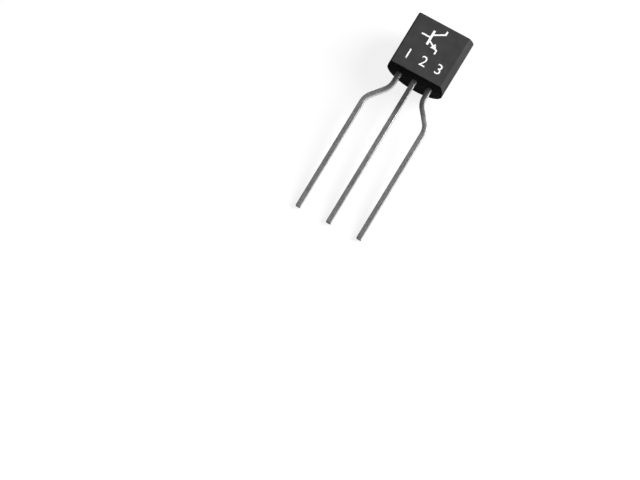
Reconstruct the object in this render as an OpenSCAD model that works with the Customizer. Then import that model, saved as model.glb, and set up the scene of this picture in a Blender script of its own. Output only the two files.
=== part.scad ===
// Small-signal transistor in a three-lead D-shaped moulded package.
// The leads are formed outwards from the body's pitch to a wider mounting pitch.
// Each piece is drawn upright: X across the flat face, -Y out of the flat face,
// +Z from the lead end of the body to its top, with Z = 0 at the lead end and
// Y = 0 in the middle of the leads. lay_down() then sets the part on the table,
// flat face up, on the back of its lead end and on the three lead tips.

/* [Moulded body] */
// Width across the round, mm
body_w = 4.6; // [4.2:0.05:5.2]
// Height from the lead end to the top, mm
body_h = 4.62; // [4.4:0.01:5.4]
// Distance from the middle of the leads to the flat face, mm
flat_to_leads = 1.0; // [0.95:0.05:1.6]
// Slope of the lead end's front half towards the flat face, degrees
lead_end_slope = 14; // [0:1:18]
// Slope of the top's front half towards the flat face, degrees
top_front_slope = 5; // [0:1:15]
// Slope of the top's back half towards the round back, degrees
top_back_slope = 2; // [0:1:10]
// Radius of the two upright edges beside the flat face, mm
edge_r = 0.1; // [0.05:0.01:0.2]

/* [Ejector pin mark] */
// Diameter of the round recess in the back, mm
eject_d = 1.5; // [0.8:0.1:2]
// Depth of the recess below the crest of the back, mm
eject_depth = 0.5; // [0.1:0.05:1]
// Height of the recess's centre above the lead end, mm
eject_z = 2.2; // [1.6:0.1:2.8]

/* [Leads] */
// Width of a lead, mm
lead_w = 0.38; // [0.36:0.01:0.5]
// Thickness of the lead frame's strip, mm
lead_t = 0.38; // [0.3:0.01:0.45]
// Length of the leads from the body to their tips, mm
lead_len = 12.5; // [8:0.1:20]
// Pitch of the leads where they leave the body, mm
body_pitch = 1.27; // [1.2:0.01:1.4]
// Pitch of the leads at their tips, mm
tip_pitch = 2.54; // [2.3:0.01:2.8]
// Straight length of an outer lead before its first bend, mm
bend_start = 0.78; // [0.3:0.01:2]
// Radius of the outer leads' bends, at the middle of the lead, mm
bend_r = 1.3; // [0.6:0.05:1.4]
// Angle that the outer leads turn by at each bend, degrees
bend_angle = 39; // [35:1:50]

/* [Lead frame inside the body] */
// Width of the anchors that lock the leads in the body, mm
anchor_w = 0.86; // [0.6:0.02:0.95]
// Height of the anchors' full width, mm
anchor_h = 0.35; // [0.2:0.05:0.5]
// Height of the anchors' lower shoulders above the lead end, mm
anchor_z = 0.45; // [0.3:0.05:0.5]
// Height of a shoulder, where the strip widens or narrows, mm
shoulder = 0.1; // [0.05:0.01:0.15]
// Width of the die pad on the collector lead, mm
pad_w = 1.85; // [1.6:0.05:1.9]
// Height of the die pad, mm
pad_h = 1.4; // [1.2:0.05:1.5]
// Height of the die pad's lower edge above the lead end, mm
pad_z = 2.1; // [2.1:0.05:2.3]
// Width of the bonding posts on the base and emitter leads, mm
post_w = 0.7; // [0.5:0.05:0.8]
// Height of the bonding posts, mm
post_h = 0.45; // [0.35:0.05:0.5]
// Gap between the base post's top and the die pad, mm
post_gap = 0.3; // [0.2:0.05:0.35]

/* [Silicon die and bond wires] */
// Side of the square silicon die, mm
die_w = 0.5; // [0.35:0.05:0.7]
// Thickness of the silicon die, mm
die_t = 0.2; // [0.1:0.05:0.25]
// Distance of the wires' bonds from the centre of the die, mm
bond_offset = 0.12; // [0.08:0.01:0.15]
// Diameter of the bond wires, mm
wire_d = 0.05; // [0.04:0.005:0.06]
// Rise of a wire's loop above the line between its two bonds, mm
wire_loop = 0.28; // [0.2:0.01:0.32]
// Diameter of the ball at the die end of a wire, mm
ball_d = 0.1; // [0.09:0.01:0.12]

/* [Hidden] */
$fn = 96;

body_r = body_w / 2;

// Half-plane and slot tools reach this far past what they cut.
reach = body_w + body_h;

// End faces: the height lost at the flat face and at the crest of the back.
lead_end_rise = flat_to_leads * tan(lead_end_slope);
top_front_drop = flat_to_leads * tan(top_front_slope);
top_back_drop = body_r * tan(top_back_slope);

// Upright edges: centre of the small circle that rounds flat face into round.
edge_y = -flat_to_leads + edge_r;
edge_x = sqrt(pow(body_r - edge_r, 2) - pow(edge_y, 2));

// Outer leads: the slanted run between the two bends.
bend_shift = tip_pitch - body_pitch;
slant = (bend_shift - 2 * bend_r * (1 - cos(bend_angle))) / sin(bend_angle);
bends_end = bend_start + 2 * bend_r * sin(bend_angle) + slant * cos(bend_angle);
// The bends' circles reach this far into the strip, so that they cross its sides
// instead of only touching them.
bend_blend = 0.001;

// Lead frame: the collector is the left lead, seen from the flat face.
collector_x = -body_pitch;
emitter_x = body_pitch;
pad_left = collector_x - lead_w / 2;
pad_top = pad_z + pad_h;
base_post_top = pad_z - post_gap;
emitter_post_top = pad_z + (pad_h + post_h) / 2;

// Die: in the middle of the pad, on the side of the flat face.
die_x = pad_left + pad_w / 2;
die_z = pad_z + pad_h / 2;
strip_face = -lead_t / 2;
die_face = strip_face - die_t;
ball_h = wire_d / 2;
// A wire's far end starts this far behind the post's face and is cut flush.
wire_sink = wire_d;

// At rest: the part turns until the back of its lead end and its tips touch.
rest_tilt = atan2(body_r - lead_t / 2, lead_len);
rest_turn = rest_tilt - 90;
rest_lift = body_r * cos(rest_tilt);
// Ends of the part along the table, from which its middle is found.
function along(y, z) = y * sin(rest_tilt) + z * cos(rest_tilt);
top_reach = max(
    along(-flat_to_leads, body_h - top_front_drop),
    along(0, body_h),
    along(body_r, body_h - top_back_drop)
);
tip_reach = along(-lead_t / 2, -lead_len);
rest_middle = (top_reach + tip_reach) / 2;

module lay_down() {
    translate([0, -rest_middle, rest_lift]) rotate([rest_turn, 0, 0]) children();
}

// Turns an outline in X and Z into a strip of the lead frame's thickness.
module strip() {
    rotate([90, 0, 0]) linear_extrude(lead_t, center = true) children();
}

// D-shaped section: a circle cut by the flat face, with its two corners rounded.
module body_section() {
    toward_round = [edge_x, edge_y] / norm([edge_x, edge_y]);
    difference() {
        circle(r = body_r);
        translate([-reach, -flat_to_leads - reach]) square([2 * reach, reach]);
        for (side = [-1, 1]) polygon([
            [side * edge_x, edge_y],
            [side * edge_x, -flat_to_leads - edge_r],
            [side * (body_r + edge_r), -flat_to_leads - edge_r],
            [side * toward_round.x, toward_round.y] * (body_r + edge_r)
        ]);
    }
    for (side = [-1, 1]) translate([side * edge_x, edge_y]) circle(r = edge_r);
}

// Side outline: both ends slope away from the parting line, so that each half
// leaves its half of the mould.
module body_profile() {
    polygon([
        [-flat_to_leads, lead_end_rise],
        [0, 0],
        [body_r, 0],
        [body_r, body_h - top_back_drop],
        [0, body_h],
        [-flat_to_leads, body_h - top_front_drop]
    ]);
}

// Epoxy before the lead frame, die and wires are taken out of it.
module body_block() {
    difference() {
        intersection() {
            linear_extrude(body_h) body_section();
            rotate([90, 0, 90]) linear_extrude(body_w, center = true) body_profile();
        }
        translate([0, body_r - eject_depth, eject_z])
            rotate([-90, 0, 0]) cylinder(h = reach, d = eject_d);
    }
}

// A straight run of lead, from z_low to z_high, centred on the origin's X.
module run(z_low, z_high) {
    translate([-lead_w / 2, z_low]) square([lead_w, z_high - z_low]);
}

// Wedge swept by a bend, from its centre at the origin out to the radius r.
module bend_wedge(r) {
    polygon([
        [0, 0],
        [-r, 0],
        [-r, -r * tan(bend_angle / 2)],
        [-r * cos(bend_angle), -r * sin(bend_angle)]
    ]);
}

// Puts its children at the centres of the two bends.
module at_bends() {
    translate([bend_r, -bend_start]) children();
    translate([bend_shift - bend_r, -bends_end]) rotate(180) children();
}

// Outside part of an outer lead, bent towards +X, from the body to the tip:
// a strip with mitred corners, whose corners are then rounded at each bend.
module formed_lead() {
    half_w = lead_w / 2;
    tangent = bend_r * tan(bend_angle / 2);
    mitre = half_w * tan(bend_angle / 2);
    corner_1 = -bend_start - tangent;
    corner_2 = -bends_end + tangent;
    difference() {
        polygon([
            [-half_w, 0],
            [-half_w, corner_1 - mitre],
            [bend_shift - half_w, corner_2 - mitre],
            [bend_shift - half_w, -lead_len],
            [bend_shift + half_w, -lead_len],
            [bend_shift + half_w, corner_2 + mitre],
            [half_w, corner_1 + mitre],
            [half_w, 0]
        ]);
        at_bends() difference() {
            bend_wedge(bend_r + lead_w);
            circle(r = bend_r + half_w + bend_blend);
        }
    }
    at_bends() difference() {
        bend_wedge(bend_r);
        circle(r = bend_r - half_w + bend_blend);
    }
}

// Stem with its anchor, inside the body, up to z_top.
module anchored_stem(z_top) {
    run(0, z_top);
    low = anchor_z;
    high = anchor_z + anchor_h + 2 * shoulder;
    polygon([
        [-lead_w / 2, low], [lead_w / 2, low],
        [anchor_w / 2, low + shoulder], [anchor_w / 2, high - shoulder],
        [lead_w / 2, high], [-lead_w / 2, high],
        [-anchor_w / 2, high - shoulder], [-anchor_w / 2, low + shoulder]
    ]);
}

// Bonding post: the widened end of a stem, below z_top.
module post(z_top) {
    low = z_top - post_h;
    polygon([
        [-lead_w / 2, low], [lead_w / 2, low],
        [post_w / 2, low + shoulder], [post_w / 2, z_top],
        [-post_w / 2, z_top], [-post_w / 2, low + shoulder]
    ]);
}

// Tin-plated copper strip: outer lead, anchor and the pad that carries the die.
module collector_lead_shape() {
    strip() {
        translate([collector_x, 0]) {
            mirror([1, 0]) formed_lead();
            anchored_stem(pad_z);
        }
        polygon([
            [pad_left, pad_z - shoulder],
            [pad_left + lead_w, pad_z - shoulder],
            [pad_left + lead_w + shoulder, pad_z],
            [pad_left + pad_w, pad_z],
            [pad_left + pad_w, pad_top],
            [pad_left, pad_top]
        ]);
    }
}

module base_lead_shape() {
    strip() {
        run(-lead_len, 0);
        anchored_stem(base_post_top - post_h);
        post(base_post_top);
    }
}

module emitter_lead_shape() {
    strip() translate([emitter_x, 0]) {
        formed_lead();
        anchored_stem(emitter_post_top - post_h);
        post(emitter_post_top);
    }
}

// Silicon chip on the pad's front.
module die_shape() {
    translate([die_x - die_w / 2, die_face, die_z - die_w / 2])
        cube([die_w, die_t, die_w]);
}

// Gold wire: a ball on the die's face, a round loop, and a flush end on a post.
// bond and landing are places in X and Z.
module wire_shape(bond, landing) {
    flat_run = norm(landing - bond);
    heading = atan2(landing.y - bond.y, landing.x - bond.x);
    drop = die_t + wire_sink;
    chord = norm([flat_run, drop]);
    loop_r = (chord * chord / 4 + wire_loop * wire_loop) / (2 * wire_loop);
    half_angle = asin(chord / 2 / loop_r);
    translate([bond.x, die_face, bond.y]) {
        rotate([90, 0, 0]) cylinder(h = ball_h, d = ball_d);
        rotate([0, -heading, 0]) rotate([90, 0, 0]) rotate([90, 0, 0])
            rotate([0, 0, -atan2(drop, flat_run)])
            translate([chord / 2, wire_loop - loop_r, 0])
            rotate([0, 0, 90 - half_angle])
            rotate_extrude(angle = 2 * half_angle) translate([loop_r, 0]) circle(d = wire_d);
    }
}

module base_wire_shape() {
    difference() {
        wire_shape([die_x + bond_offset, die_z - bond_offset], [0, base_post_top - post_h / 3]);
        die_shape();
        base_lead_shape();
    }
}

module emitter_wire_shape() {
    difference() {
        wire_shape([die_x + bond_offset, die_z + bond_offset], [emitter_x, emitter_post_top - post_h / 2]);
        die_shape();
        emitter_lead_shape();
    }
}

module moulded_body() {
    color([0.26, 0.26, 0.26]) lay_down() difference() {
        body_block();
        collector_lead_shape();
        base_lead_shape();
        emitter_lead_shape();
        die_shape();
        base_wire_shape();
        emitter_wire_shape();
    }
}

module collector_lead() {
    color([0.52, 0.52, 0.52]) lay_down() collector_lead_shape();
}

module base_lead() {
    color([0.52, 0.52, 0.52]) lay_down() base_lead_shape();
}

module emitter_lead() {
    color([0.52, 0.52, 0.52]) lay_down() emitter_lead_shape();
}

module silicon_die() {
    color([0.35, 0.37, 0.42]) lay_down() die_shape();
}

module base_bond_wire() {
    color([0.9, 0.72, 0.3]) lay_down() base_wire_shape();
}

module emitter_bond_wire() {
    color([0.9, 0.72, 0.3]) lay_down() emitter_wire_shape();
}

moulded_body();
collector_lead();
base_lead();
emitter_lead();
silicon_die();
base_bond_wire();
emitter_bond_wire();
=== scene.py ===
import math

import bmesh
import bpy
from mathutils import Matrix, Vector


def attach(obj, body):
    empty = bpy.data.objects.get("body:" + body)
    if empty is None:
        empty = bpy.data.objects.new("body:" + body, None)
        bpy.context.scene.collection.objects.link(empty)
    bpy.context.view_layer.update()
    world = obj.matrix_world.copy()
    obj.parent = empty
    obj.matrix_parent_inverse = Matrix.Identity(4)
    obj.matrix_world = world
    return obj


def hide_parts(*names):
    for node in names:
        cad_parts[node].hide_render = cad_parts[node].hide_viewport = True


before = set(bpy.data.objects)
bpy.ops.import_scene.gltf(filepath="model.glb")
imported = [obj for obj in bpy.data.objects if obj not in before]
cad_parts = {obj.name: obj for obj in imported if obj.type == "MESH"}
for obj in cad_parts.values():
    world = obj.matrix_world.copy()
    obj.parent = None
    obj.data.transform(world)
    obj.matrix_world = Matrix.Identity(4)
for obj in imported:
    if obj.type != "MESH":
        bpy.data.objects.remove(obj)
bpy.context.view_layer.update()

# Camera: a long lens from above and in front of the leads, rolled so that they point
# down to the left, with the transistor in the upper right of the view.
camera = bpy.data.objects.new("camera", bpy.data.cameras.new("camera"))
camera.data.lens = 1000
camera.data.sensor_width = 36
camera.location = (0.2364142, -0.5505118, 1.1436401)
camera.rotation_euler = [math.radians(a) for a in (27.1018, -3.2823, 29.9941)]
bpy.context.scene.collection.objects.link(camera)
bpy.context.scene.camera = camera

# Moulded body: a D-shaped block of black epoxy, transfer moulded round the lead
# frame in two halves that meet in the plane of the leads. It is drawn upright in
# millimetres, -Y out of the flat face and +Z to its top, then laid down.
body_r = 2.3
body_h = 4.62
body_segments = 180
flat_y = -1.0
lead_end_slope = math.radians(14)
top_front_slope = math.radians(5)
top_back_slope = math.radians(2)
edge_round = 0.04
parting_w = 0.03
parting_rise = 0.01
lead_len = 12.5
lead_w = 0.38
lead_t = 0.38
# Points closer than this are one point.
near = 1e-4

# At rest the back of the lead end and the three tips touch the table.
rest_tilt = math.atan2(body_r - lead_t / 2, lead_len)
rest_turn = rest_tilt - math.pi / 2


def along(y, z):
    """How far along the table a point of the upright drawing lies."""
    return y * math.sin(rest_tilt) + z * math.cos(rest_tilt)


top_reach = max(
    along(flat_y, body_h + flat_y * math.tan(top_front_slope)),
    along(0, body_h),
    along(body_r, body_h - body_r * math.tan(top_back_slope)),
)
tip_reach = along(-lead_t / 2, -lead_len)
rest_lift = body_r * math.cos(rest_tilt)
# A millimetre of the drawing in the scene's metres.
mm = 0.001
rest_place = Vector((0, -(top_reach + tip_reach) / 2, rest_lift)) * mm
lay_down = Matrix.Translation(rest_place) @ Matrix.Rotation(rest_turn, 4, "X") @ Matrix.Scale(mm, 4)


def trim(bm, point, normal):
    """Cuts off what lies on the normal's side of a plane and closes the cut."""
    everything = bm.verts[:] + bm.edges[:] + bm.faces[:]
    cut = bmesh.ops.bisect_plane(
        bm, geom=everything, plane_co=point, plane_no=normal, clear_outer=True
    )
    rim = [e for e in cut["geom_cut"] if isinstance(e, bmesh.types.BMEdge) and e.is_boundary]
    bmesh.ops.contextual_create(bm, geom=rim)


def sharp_edges(bm, degrees=30):
    """Edges whose two faces turn by more than that."""
    return [
        e for e in bm.edges
        if len(e.link_faces) == 2 and e.calc_face_angle() > math.radians(degrees)
    ]


def round_over(bm, edges, radius, segments):
    """Rounds the edges off."""
    bmesh.ops.bevel(
        bm, geom=edges, offset=radius, segments=segments, affect="EDGES", profile=0.5,
        material=-1, clamp_overlap=True,
    )


def finish_mesh(bm, name):
    """Lays the drawing down on the table and returns it as a smooth-shaded object."""
    bmesh.ops.remove_doubles(bm, verts=bm.verts, dist=near)
    bmesh.ops.recalc_face_normals(bm, faces=bm.faces)
    bmesh.ops.transform(bm, matrix=lay_down, verts=bm.verts)
    mesh = bpy.data.meshes.new(name)
    bm.to_mesh(mesh)
    bm.free()
    for face in mesh.polygons:
        face.use_smooth = True
    mesh.set_sharp_from_angle(angle=math.radians(40))
    piece = bpy.data.objects.new(name, mesh)
    bpy.context.scene.collection.objects.link(piece)
    normals = piece.modifiers.new("even_normals", "WEIGHTED_NORMAL")
    normals.keep_sharp = True
    normals.weight = 100
    return piece


block = bmesh.new()
bmesh.ops.create_cone(
    block, cap_ends=True, segments=body_segments, radius1=body_r, radius2=body_r, depth=body_h
)
bmesh.ops.translate(block, verts=block.verts, vec=(0, 0, body_h / 2))
trim(block, (0, flat_y, 0), (0, -1, 0))
trim(block, (0, 0, 0), (0, -math.sin(lead_end_slope), -math.cos(lead_end_slope)))
trim(block, (0, 0, body_h), (0, -math.sin(top_front_slope), math.cos(top_front_slope)))
trim(block, (0, 0, body_h), (0, math.sin(top_back_slope), math.cos(top_back_slope)))
bmesh.ops.remove_doubles(block, verts=block.verts, dist=near)
round_over(block, sharp_edges(block), edge_round, 3)

# Parting line: a fine ridge all round, where the two mould halves meet.
for y in (-parting_w, 0, parting_w):
    everything = block.verts[:] + block.edges[:] + block.faces[:]
    bmesh.ops.bisect_plane(block, geom=everything, plane_co=(0, y, 0), plane_no=(0, 1, 0))
block.normal_update()
for v in block.verts:
    if abs(v.co.y) < near:
        v.co += Vector((v.normal.x, 0, v.normal.z)).normalized() * parting_rise

# Ejector pin mark: the pin that pushed the part out of its mould half left a
# round, flat-bottomed recess in the back.
eject_r = 0.75
eject_depth = 0.5
eject_z = 2.2
eject_edge = 0.025
pin_segments = 96
pin_len = 1
pin_draft = 0.01
pin_edge = 0.05

pin = bmesh.new()
bmesh.ops.create_cone(
    pin, cap_ends=True, segments=pin_segments, radius1=eject_r - pin_draft,
    radius2=eject_r + pin_draft, depth=pin_len,
)
round_over(pin, [e for e in pin.edges if all(v.co.z < 0 for v in e.verts)], pin_edge, 3)
bmesh.ops.rotate(pin, verts=pin.verts, matrix=Matrix.Rotation(-math.pi / 2, 3, "X"))
bmesh.ops.translate(pin, verts=pin.verts, vec=(0, body_r - eject_depth + pin_len / 2, eject_z))


def combine(shape, other, operation):
    """Joins two closed shapes, or cuts the other from the first, and returns the result."""
    pair = []
    for part in (shape, other):
        mesh = bpy.data.meshes.new("part")
        part.to_mesh(mesh)
        part.free()
        pair.append(bpy.data.objects.new("part", mesh))
        bpy.context.scene.collection.objects.link(pair[-1])
    joint = pair[0].modifiers.new("joint", "BOOLEAN")
    joint.operation = operation
    joint.solver = "EXACT"
    joint.use_self = True
    joint.object = pair[1]
    joined = pair[0].evaluated_get(bpy.context.evaluated_depsgraph_get())
    result = bmesh.new()
    result.from_mesh(bpy.data.meshes.new_from_object(joined))
    for part in pair:
        bpy.data.objects.remove(part)
    bmesh.ops.remove_doubles(result, verts=result.verts, dist=near)
    return result


block = combine(block, pin, "DIFFERENCE")
above_floor = body_r - eject_depth / 2
rim_reach = 1.2 * eject_r
rim = [
    e for e in sharp_edges(block, 45)
    if all(v.co.y > above_floor and math.hypot(v.co.x, v.co.z - eject_z) < rim_reach for v in e.verts)
]
round_over(block, rim, eject_edge, 2)
body = finish_mesh(block, "epoxy_body")
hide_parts("moulded_body")
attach(body, "root")


def srgb(code):
    """A colour from its sRGB hex code, as the renderer takes it."""
    parts = [int(code[i : i + 2], 16) / 255 for i in (1, 3, 5)]
    return [c / 12.92 if c <= 0.04045 else ((c + 0.055) / 1.055) ** 2.4 for c in parts] + [1]


def add_node(tree, kind, links=(), stops=(), **settings):
    """Adds a node with its properties, inputs, links and, on a ramp, colour stops."""
    node = tree.nodes.new(kind)
    for name, value in settings.items():
        if hasattr(node, name):
            setattr(node, name, value)
        else:
            node.inputs[name.replace("_", " ")].default_value = value
    for source, socket in links:
        tree.links.new(source, node.inputs[socket])
    if stops:
        ramp = node.color_ramp.elements
        ramp.remove(ramp[1])
        ramp[0].position, ramp[0].color = stops[0][0], srgb(stops[0][1])
        for place, shade in stops[1:]:
            ramp.new(place).color = srgb(shade)
    return node


def new_material(name):
    """A material with its node tree and its surface shader."""
    material = bpy.data.materials.new(name)
    material.use_nodes = True
    tree = material.node_tree
    tree.nodes.clear()
    shader = tree.nodes.new("ShaderNodeBsdfPrincipled")
    out = tree.nodes.new("ShaderNodeOutputMaterial")
    tree.links.new(shader.outputs["BSDF"], out.inputs["Surface"])
    return material, tree, shader


def upright(tree, size):
    """Object coordinates turned back to the upright drawing, in units of size millimetres."""
    place = tree.nodes.new("ShaderNodeTexCoord")
    turned = add_node(
        tree, "ShaderNodeMapping", vector_type="TEXTURE", links=[(place.outputs["Object"], "Vector")]
    )
    turned.inputs["Location"].default_value = rest_place
    turned.inputs["Rotation"].default_value = (rest_turn, 0, 0)
    turned.inputs["Scale"].default_value = [v * mm for v in size]
    return turned.outputs["Vector"]


# Epoxy moulding compound, black with silica filler, moulded against steel: faintly
# mottled, matt and slightly grainy where the mould is spark-eroded, and satin on the
# round back, where the other half of the mould is polished. The grain is drawn
# coarser than it is, so that it shows.
filler_grain = 0.06
filler_depth = 0.01
mottle = 0.9
for name, smooth, rough, gloss in (("matt", 0.68, 0.8, 0.005), ("satin", 0.42, 0.5, 0.13)):
    epoxy, tree, shader = new_material(name + "_moulded_epoxy")
    grain = add_node(
        tree, "ShaderNodeTexNoise", Scale=1, Detail=3, Roughness=0.6,
        links=[(upright(tree, (filler_grain,) * 3), "Vector")],
    )
    clouds = add_node(
        tree, "ShaderNodeTexNoise", Scale=1, Detail=4, Roughness=0.55,
        links=[(upright(tree, (mottle,) * 3), "Vector")],
    )
    tone = add_node(
        tree, "ShaderNodeValToRGB", stops=((0.35, "#3d3d3e"), (0.65, "#434344")),
        links=[(clouds.outputs["Fac"], "Fac")],
    )
    tree.links.new(tone.outputs["Color"], shader.inputs["Base Color"])
    dulling = add_node(
        tree, "ShaderNodeMapRange", From_Min=0.3, From_Max=0.7, To_Min=smooth, To_Max=rough,
        links=[(grain.outputs["Fac"], "Value")],
    )
    tree.links.new(dulling.outputs["Result"], shader.inputs["Roughness"])
    bump = add_node(
        tree, "ShaderNodeBump", Strength=0.25, Distance=filler_depth * mm,
        links=[(grain.outputs["Fac"], "Height")],
    )
    tree.links.new(bump.outputs["Normal"], shader.inputs["Normal"])
    shader.inputs["Specular IOR Level"].default_value = gloss
    body.data.materials.append(epoxy)

# The round side behind the parting line is satin. The ends are matt, like the front.
stand_up = lay_down.inverted()
for face in body.data.polygons:
    outward = stand_up.to_3x3().normalized() @ face.normal
    if (stand_up @ face.center).y > 0 and abs(outward.z) < 0.5:
        face.material_index = 1

# Leads: stamped from copper strip and tin plated, with the outer two bent outwards
# and back. The collector lead carries the die pad, the other two end in posts.
body_pitch = 1.27
tip_pitch = 2.54
bend_start = 0.78
bend_r = 1.3
bend_angle = math.radians(39)
bend_steps = 20
stem_edge = 0.03
shoulder = 0.1
anchor_w = 0.86
anchor_h = 0.35
anchor_z = 0.45
pad_w = 1.85
pad_h = 1.4
pad_z = 2.1
# The strip widens to the pad within this height.
pad_step = 0.02
post_w = 0.7
post_h = 0.45
post_gap = 0.3
bend_shift = tip_pitch - body_pitch
slant = (bend_shift - 2 * bend_r * (1 - math.cos(bend_angle))) / math.sin(bend_angle)
bends_end = bend_start + 2 * bend_r * math.sin(bend_angle) + slant * math.cos(bend_angle)
anchor_top = anchor_z + anchor_h + 2 * shoulder
pad_left = -body_pitch - lead_w / 2
base_top = pad_z - post_gap
emitter_top = pad_z + (pad_h + post_h) / 2

# Tin plate on copper strip: a satin grey metal, speckled by the grain of the plating and slightly uneven
# in gloss. The grain is drawn several times coarser than it is, so that it shows. Next to the body the
# tin is darkened with painted shade, in a round patch that stands in for the body's shadow on the leads,
# while the sides are left out of it and stay bright.
tin_grain = (0.08, 0.08, 0.16)
tin_depth = 0.004
gloss_patch = (0.35, 0.35, 0.9)
# The painted shadow's own units across, forwards and down, and its centre in them, which lies a little
# to the right of the base lead.
shadow_reach = (3.08, 4, 4)
shadow_centre = (0.09, 0, 0)
# The colour sockets of a Mix node, by number, because their names repeat.
mix_a, mix_b, mix_out = 6, 7, 2

tin, tree, shader = new_material("tin_plate")
grain = add_node(
    tree, "ShaderNodeTexNoise", Scale=1, Detail=1, Roughness=0.6,
    links=[(upright(tree, tin_grain), "Vector")],
)
tone = add_node(
    tree, "ShaderNodeValToRGB", stops=((0.35, "#b6b6b6"), (0.65, "#dadada")),
    links=[(grain.outputs["Fac"], "Fac")],
)
from_body = add_node(
    tree, "ShaderNodeVectorMath", operation="DISTANCE", links=[(upright(tree, shadow_reach), 0)]
)
from_body.inputs[1].default_value = shadow_centre
# Painted shade: darkest round the body and fading out along the leads, in place of the body's shadow on
# them.
painted_body_shadow = add_node(
    tree, "ShaderNodeValToRGB",
    stops=((0.08, "#eaeaea"), (0.2, "#c8c8c8"), (0.35, "#b7b7b7"), (0.52, "#b2b2b2"), (0.85, "#ffffff")),
    links=[(from_body.outputs["Value"], "Fac")],
)
surface = tree.nodes.new("ShaderNodeNewGeometry")
facing = add_node(tree, "ShaderNodeSeparateXYZ", links=[(surface.outputs["Normal"], 0)])
front_or_back = add_node(
    tree, "ShaderNodeMath", operation="ABSOLUTE", links=[(facing.outputs["Z"], 0)]
)
# The painted shade falls only on faces that turn up or down in the scene; the side faces keep their
# bright tin.
shade_by_facing = add_node(
    tree, "ShaderNodeMapRange", From_Min=0.2, From_Max=0.8, To_Min=0.1, To_Max=1,
    links=[(front_or_back.outputs[0], "Value")],
)
shadowed_tin = add_node(
    tree, "ShaderNodeMix", data_type="RGBA", blend_type="MULTIPLY",
    links=[
        (shade_by_facing.outputs["Result"], 0),
        (tone.outputs["Color"], mix_a),
        (painted_body_shadow.outputs["Color"], mix_b),
    ],
)
tree.links.new(shadowed_tin.outputs[mix_out], shader.inputs["Base Color"])
clouds = add_node(
    tree, "ShaderNodeTexNoise", Scale=1, Detail=3, Roughness=0.6,
    links=[(upright(tree, gloss_patch), "Vector")],
)
dulling = add_node(
    tree, "ShaderNodeMapRange", From_Min=0.3, From_Max=0.7, To_Min=0.37, To_Max=0.43,
    links=[(clouds.outputs["Fac"], "Value")],
)
tree.links.new(dulling.outputs["Result"], shader.inputs["Roughness"])
bump = add_node(
    tree, "ShaderNodeBump", Strength=0.2, Distance=tin_depth * mm,
    links=[(grain.outputs["Fac"], "Height")],
)
tree.links.new(bump.outputs["Normal"], shader.inputs["Normal"])
shader.inputs["Metallic"].default_value = 1

# Sheared tip: the cut through the strip leaves a coarser, darker end with tear marks
# through its thickness, where the tin is smeared over the copper. They are drawn
# coarser than they are, so that they show.
tear_size = (0.08, 0.4, 0.1)
tear_depth = 0.01

sheared, tree, shader = new_material("sheared_strip_end")
tears = add_node(
    tree, "ShaderNodeTexNoise", Scale=1, Detail=3, Roughness=0.6,
    links=[(upright(tree, tear_size), "Vector")],
)
tone = add_node(
    tree, "ShaderNodeValToRGB", stops=((0.4, "#4c4a47"), (0.6, "#6a6764")),
    links=[(tears.outputs["Fac"], "Fac")],
)
tree.links.new(tone.outputs["Color"], shader.inputs["Base Color"])
bump = add_node(
    tree, "ShaderNodeBump", Strength=0.5, Distance=tear_depth * mm,
    links=[(tears.outputs["Fac"], "Height")],
)
tree.links.new(bump.outputs["Normal"], shader.inputs["Normal"])
shader.inputs["Metallic"].default_value = 1
shader.inputs["Roughness"].default_value = 0.5


def start_strip(x):
    """The cross-section of a lead where it leaves the body, as a single face."""
    strip = bmesh.new()
    bmesh.ops.create_grid(strip, x_segments=1, y_segments=1, size=0.5)
    bmesh.ops.scale(strip, verts=strip.verts, vec=(lead_w, lead_t, 1))
    bmesh.ops.translate(strip, verts=strip.verts, vec=(x, 0, 0))
    return strip, next(iter(strip.faces))


def draw_on(strip, face, move, left=None, right=None):
    """Extrudes the end face along move. left and right reset its two sides in X."""
    out = bmesh.ops.extrude_face_region(strip, geom=[face] + face.edges[:] + face.verts[:])["geom"]
    end = next(g for g in out if isinstance(g, bmesh.types.BMFace))
    bmesh.ops.translate(strip, verts=end.verts, vec=move)
    if left is not None:
        middle = end.calc_center_median().x
        for v in end.verts:
            v.co.x = left if v.co.x < middle else right
    return end


def bend(strip, face, centre, angle):
    """Turns the end face about a bend's centre, in the plane of the lead frame."""
    out = bmesh.ops.spin(
        strip, geom=[face] + face.edges[:] + face.verts[:], cent=centre, axis=(0, 1, 0),
        angle=angle, steps=bend_steps, use_merge=False, use_normal_flip=False, use_duplicate=False,
    )["geom_last"]
    return next(g for g in out if isinstance(g, bmesh.types.BMFace))


def form_outside(strip, face, x, side):
    """Draws an outer lead down, bends it outwards and back, and ends it at its tip."""
    end = draw_on(strip, face, (0, 0, -bend_start))
    end = bend(strip, end, (x + side * bend_r, 0, -bend_start), -side * bend_angle)
    end = draw_on(strip, end, (side * slant * math.sin(bend_angle), 0, -slant * math.cos(bend_angle)))
    far_x = x + side * bend_shift
    end = bend(strip, end, (far_x - side * bend_r, 0, -bends_end), side * bend_angle)
    draw_on(strip, end, (0, 0, bends_end - lead_len))


def draw_anchor(strip, x):
    """Draws a stem into the body, with the wider part that locks it in the epoxy."""
    entry = next(f for f in strip.faces if all(abs(v.co.z) < near for v in f.verts))
    end = draw_on(strip, entry, (0, 0, anchor_z))
    end = draw_on(strip, end, (0, 0, shoulder), x - anchor_w / 2, x + anchor_w / 2)
    end = draw_on(strip, end, (0, 0, anchor_h))
    return draw_on(strip, end, (0, 0, shoulder), x - lead_w / 2, x + lead_w / 2)


def draw_post(strip, face, x, top):
    """Draws a stem on from its anchor, and the post that a bond wire ends on."""
    end = draw_on(strip, face, (0, 0, top - post_h - anchor_top))
    end = draw_on(strip, end, (0, 0, shoulder), x - post_w / 2, x + post_w / 2)
    draw_on(strip, end, (0, 0, post_h - shoulder))


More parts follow.
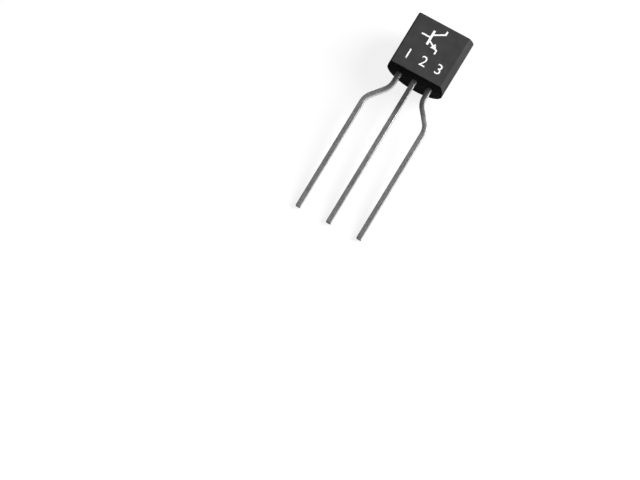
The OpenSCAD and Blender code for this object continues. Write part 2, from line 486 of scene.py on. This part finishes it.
def finish_lead(strip, name, node):
    """Takes the stamped edges off, tells the sheared tip from the plated rest, and puts
    the lead in its node's place."""
    bmesh.ops.remove_doubles(strip, verts=strip.verts, dist=near)
    bmesh.ops.recalc_face_normals(strip, faces=strip.faces)
    outside = [e for e in sharp_edges(strip) if all(v.co.z < anchor_z + near for v in e.verts)]
    round_over(strip, outside, stem_edge, 2)
    for face in strip.faces:
        if all(v.co.z < stem_edge - lead_len for v in face.verts):
            face.material_index = 1
    piece = finish_mesh(strip, name)
    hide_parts(node)
    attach(piece, "root")
    piece.data.materials.append(tin)
    piece.data.materials.append(sheared)


strip, section = start_strip(0)
draw_on(strip, section, (0, 0, -lead_len))
stem = draw_anchor(strip, 0)
draw_post(strip, stem, 0, base_top)
finish_lead(strip, "base_strip", "base_lead")

strip, section = start_strip(body_pitch)
form_outside(strip, section, body_pitch, 1)
stem = draw_anchor(strip, body_pitch)
draw_post(strip, stem, body_pitch, emitter_top)
finish_lead(strip, "emitter_strip", "emitter_lead")

strip, section = start_strip(-body_pitch)
form_outside(strip, section, -body_pitch, -1)
stem = draw_anchor(strip, -body_pitch)
end = draw_on(strip, stem, (0, 0, pad_z - shoulder - anchor_top))
end = draw_on(strip, end, (0, 0, shoulder), pad_left, pad_left + lead_w + shoulder)
end = draw_on(strip, end, (0, 0, pad_step), pad_left, pad_left + pad_w)
draw_on(strip, end, (0, 0, pad_h - pad_step))
finish_lead(strip, "collector_strip", "collector_lead")

# Silicon die, soldered to the collector's pad inside the epoxy: polished, with the
# blue-grey sheen of its oxide and a fine pattern of cells.
cell_size = 0.12

silicon, tree, shader = new_material("silicon_chip")
cells = add_node(
    tree, "ShaderNodeTexVoronoi", feature="F1", Scale=1,
    links=[(upright(tree, (cell_size,) * 3), "Vector")],
)
tone = add_node(
    tree, "ShaderNodeValToRGB", stops=((0, "#3b4456"), (1, "#59617a")),
    links=[(cells.outputs["Distance"], "Fac")],
)
tree.links.new(tone.outputs["Color"], shader.inputs["Base Color"])
shader.inputs["Metallic"].default_value = 0.5
shader.inputs["Roughness"].default_value = 0.15
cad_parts["silicon_die"].data.materials.clear()
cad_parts["silicon_die"].data.materials.append(silicon)

# Bond wires: drawn gold, balled on the die and pressed flat on the posts. They are
# smooth and warm yellow, with faint die marks from the drawing.
draw_mark = 0.02

gold, tree, shader = new_material("gold_bond_wire")
marks = add_node(
    tree, "ShaderNodeTexNoise", Scale=1, Detail=2, links=[(upright(tree, (draw_mark,) * 3), "Vector")]
)
tone = add_node(
    tree, "ShaderNodeValToRGB", stops=((0, "#d7a13c"), (1, "#efc768")),
    links=[(marks.outputs["Fac"], "Fac")],
)
tree.links.new(tone.outputs["Color"], shader.inputs["Base Color"])
shader.inputs["Metallic"].default_value = 1
shader.inputs["Roughness"].default_value = 0.22
for name in ("base_bond_wire", "emitter_bond_wire"):
    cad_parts[name].data.materials.clear()
    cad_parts[name].data.materials.append(gold)

# Marking on the flat face: white ink, printed in a thin film. The numbers are the
# leads' own, and above them stands the plain circuit symbol of a transistor.
ink_t = 0.006
ink_root = 0.002
number_h = 0.8
number_z = 0.97
# A digit stands this share of the type size high.
digit_share = 0.69
symbol_x = -0.2
symbol_z = 3.2
symbol_half = 1.0
line_w = 0.12
bar_w = 0.18
bar_x = -0.25
bar_half = 0.6
leg_x = 0.6
leg_foot = 0.22
leg_knee = 0.7
arrow_r = 0.28
arrow_at = 0.66

# Printed epoxy ink: white and matt, a little thinner in places, where the black
# under it greys it slightly.
cover_patch = 0.08

ink, tree, shader = new_material("marking_ink")
cover = add_node(
    tree, "ShaderNodeTexNoise", Scale=1, Detail=3, links=[(upright(tree, (cover_patch,) * 3), "Vector")]
)
tone = add_node(
    tree, "ShaderNodeValToRGB", stops=((0.3, "#f0f0ee"), (0.6, "#ffffff")),
    links=[(cover.outputs["Fac"], "Fac")],
)
tree.links.new(tone.outputs["Color"], shader.inputs["Base Color"])
shader.inputs["Roughness"].default_value = 0.6


def raise_print(bm):
    """Raises flat printing, drawn in X and Y, into a film that roots in the flat face."""
    out = bmesh.ops.extrude_face_region(bm, geom=bm.faces[:])["geom"]
    raised = [v for v in out if isinstance(v, bmesh.types.BMVert)]
    bmesh.ops.translate(bm, verts=raised, vec=(0, 0, ink_t + ink_root))
    bmesh.ops.recalc_face_normals(bm, faces=bm.faces)


def print_film(bm, name, place):
    """Stands a raised print up against the flat face."""
    bmesh.ops.translate(bm, verts=bm.verts, vec=(*place, 0))
    bmesh.ops.rotate(bm, verts=bm.verts, matrix=Matrix.Rotation(math.pi / 2, 3, "X"))
    bmesh.ops.translate(bm, verts=bm.verts, vec=(0, flat_y + ink_root, 0))
    film = finish_mesh(bm, name)
    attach(film, "root")
    film.data.materials.append(ink)


numbers = bmesh.new()
for count, x in ((1, -body_pitch), (2, 0), (3, body_pitch)):
    font = bpy.data.curves.new("number", "FONT")
    font.body = str(count)
    font.align_x = "CENTER"
    font.size = number_h / digit_share
    digit = bpy.data.objects.new("number", font)
    bpy.context.scene.collection.objects.link(digit)
    flat = digit.evaluated_get(bpy.context.evaluated_depsgraph_get())
    shape = bpy.data.meshes.new_from_object(flat)
    shape.transform(Matrix.Translation((x, 0, 0)))
    numbers.from_mesh(shape)
    bpy.data.objects.remove(digit)
bmesh.ops.remove_doubles(numbers, verts=numbers.verts, dist=near)
raise_print(numbers)
print_film(numbers, "lead_numbers", (0, number_z))


def stroke(start, end, width):
    """A straight printed line, raised."""
    start, end = Vector(start), Vector(end)
    line = bmesh.new()
    bmesh.ops.create_grid(line, x_segments=1, y_segments=1, size=0.5)
    bmesh.ops.scale(line, verts=line.verts, vec=((end - start).length, width, 1))
    turn = math.atan2(end.y - start.y, end.x - start.x)
    bmesh.ops.rotate(line, verts=line.verts, matrix=Matrix.Rotation(turn, 3, "Z"))
    bmesh.ops.translate(line, verts=line.verts, vec=(*((start + end) / 2), 0))
    raise_print(line)
    return line


symbol = stroke((bar_x, -bar_half), (bar_x, bar_half), bar_w)
for start, end in (
    ((-symbol_half, 0), (bar_x, 0)),
    ((bar_x, leg_foot), (leg_x, leg_knee)),
    ((bar_x, -leg_foot), (leg_x, -leg_knee)),
    ((leg_x, leg_knee - line_w / 2), (leg_x, symbol_half)),
    ((leg_x, -leg_knee + line_w / 2), (leg_x, -symbol_half)),
):
    symbol = combine(symbol, stroke(start, end, line_w), "UNION")
arrow = bmesh.new()
bmesh.ops.create_circle(arrow, cap_ends=True, segments=3, radius=arrow_r)
leg_turn = math.atan2(leg_foot - leg_knee, leg_x - bar_x)
bmesh.ops.rotate(arrow, verts=arrow.verts, matrix=Matrix.Rotation(leg_turn - math.pi / 2, 3, "Z"))
arrow_place = Vector((bar_x, -leg_foot)).lerp(Vector((leg_x, -leg_knee)), arrow_at)
bmesh.ops.translate(arrow, verts=arrow.verts, vec=(*arrow_place, 0))
raise_print(arrow)
symbol = combine(symbol, arrow, "UNION")
print_film(symbol, "circuit_symbol", (symbol_x, symbol_z))

# Table: a plain white surface. It bounces little light back up, so that the dark
# lead end of the body stays dark, and shows the body's shadow only faintly.
table_half = 3
own_white = 0.85

table_mesh = bpy.data.meshes.new("table")
top = bmesh.new()
bmesh.ops.create_grid(top, x_segments=1, y_segments=1, size=table_half)
top.to_mesh(table_mesh)
top.free()
table = bpy.data.objects.new("table", table_mesh)
bpy.context.scene.collection.objects.link(table)


def seen_directly(tree):
    """1 for the camera, and for what metal or glass shows it, and 0 for light on the part."""
    path = tree.nodes.new("ShaderNodeLightPath")
    seen = add_node(
        tree, "ShaderNodeMath", operation="MAXIMUM",
        links=[(path.outputs["Is Camera Ray"], 0), (path.outputs["Is Glossy Ray"], 1)],
    )
    seen = add_node(
        tree, "ShaderNodeMath", operation="MAXIMUM",
        links=[(seen.outputs[0], 0), (path.outputs["Is Transmission Ray"], 1)],
    )
    return seen.outputs[0]


paper = bpy.data.materials.new("white_table")
paper.use_nodes = True
tree = paper.node_tree
tree.nodes.clear()
bright = add_node(tree, "ShaderNodeEmission", Color=srgb("#ffffff"), Strength=1)
lit = add_node(tree, "ShaderNodeBsdfDiffuse", Color=srgb("#ffffff"))
dull = add_node(tree, "ShaderNodeBsdfDiffuse", Color=srgb("#262626"))
shown = add_node(
    tree, "ShaderNodeMixShader", Fac=own_white, links=[(lit.outputs[0], 1), (bright.outputs[0], 2)]
)
both = add_node(
    tree, "ShaderNodeMixShader",
    links=[(seen_directly(tree), "Fac"), (dull.outputs[0], 1), (shown.outputs[0], 2)],
)
out = tree.nodes.new("ShaderNodeOutputMaterial")
tree.links.new(both.outputs[0], out.inputs["Surface"])
table_mesh.materials.append(paper)

# Light: one large soft box from behind on the right, a weaker one from behind on the
# left, and a white room with a darker ceiling that the metal shows.
box_size = 0.5
room_light = 0.05

for name, at, power in (("right_box", (0.5, 0.28, 0.41), 10.5), ("left_box", (-0.5, 0.42, 0.18), 2.0)):
    lamp = bpy.data.lights.new(name, "AREA")
    lamp.shape = "DISK"
    lamp.size = box_size
    lamp.energy = power
    stand = bpy.data.objects.new(name, lamp)
    stand.location = at
    stand.rotation_euler = Vector(at).to_track_quat("Z", "Y").to_euler()
    bpy.context.scene.collection.objects.link(stand)
room = bpy.data.worlds.new("room")
room.use_nodes = True
tree = room.node_tree
tree.nodes.clear()
way = add_node(tree, "ShaderNodeTexCoord")
height = add_node(tree, "ShaderNodeSeparateXYZ", links=[(way.outputs["Generated"], 0)])
walls = add_node(
    tree, "ShaderNodeValToRGB", stops=((0.03, "#ffffff"), (0.3, "#5c5c5c")),
    links=[(height.outputs["Z"], "Fac")],
)
white = add_node(tree, "ShaderNodeBackground", Strength=1, links=[(walls.outputs["Color"], "Color")])
dim = add_node(tree, "ShaderNodeBackground", Color=srgb("#ffffff"), Strength=room_light)
both = add_node(
    tree, "ShaderNodeMixShader",
    links=[(seen_directly(tree), "Fac"), (dim.outputs[0], 1), (white.outputs[0], 2)],
)
out = tree.nodes.new("ShaderNodeOutputWorld")
tree.links.new(both.outputs[0], out.inputs["Surface"])
bpy.context.scene.world = room

bpy.context.scene.view_settings.view_transform = "Standard"
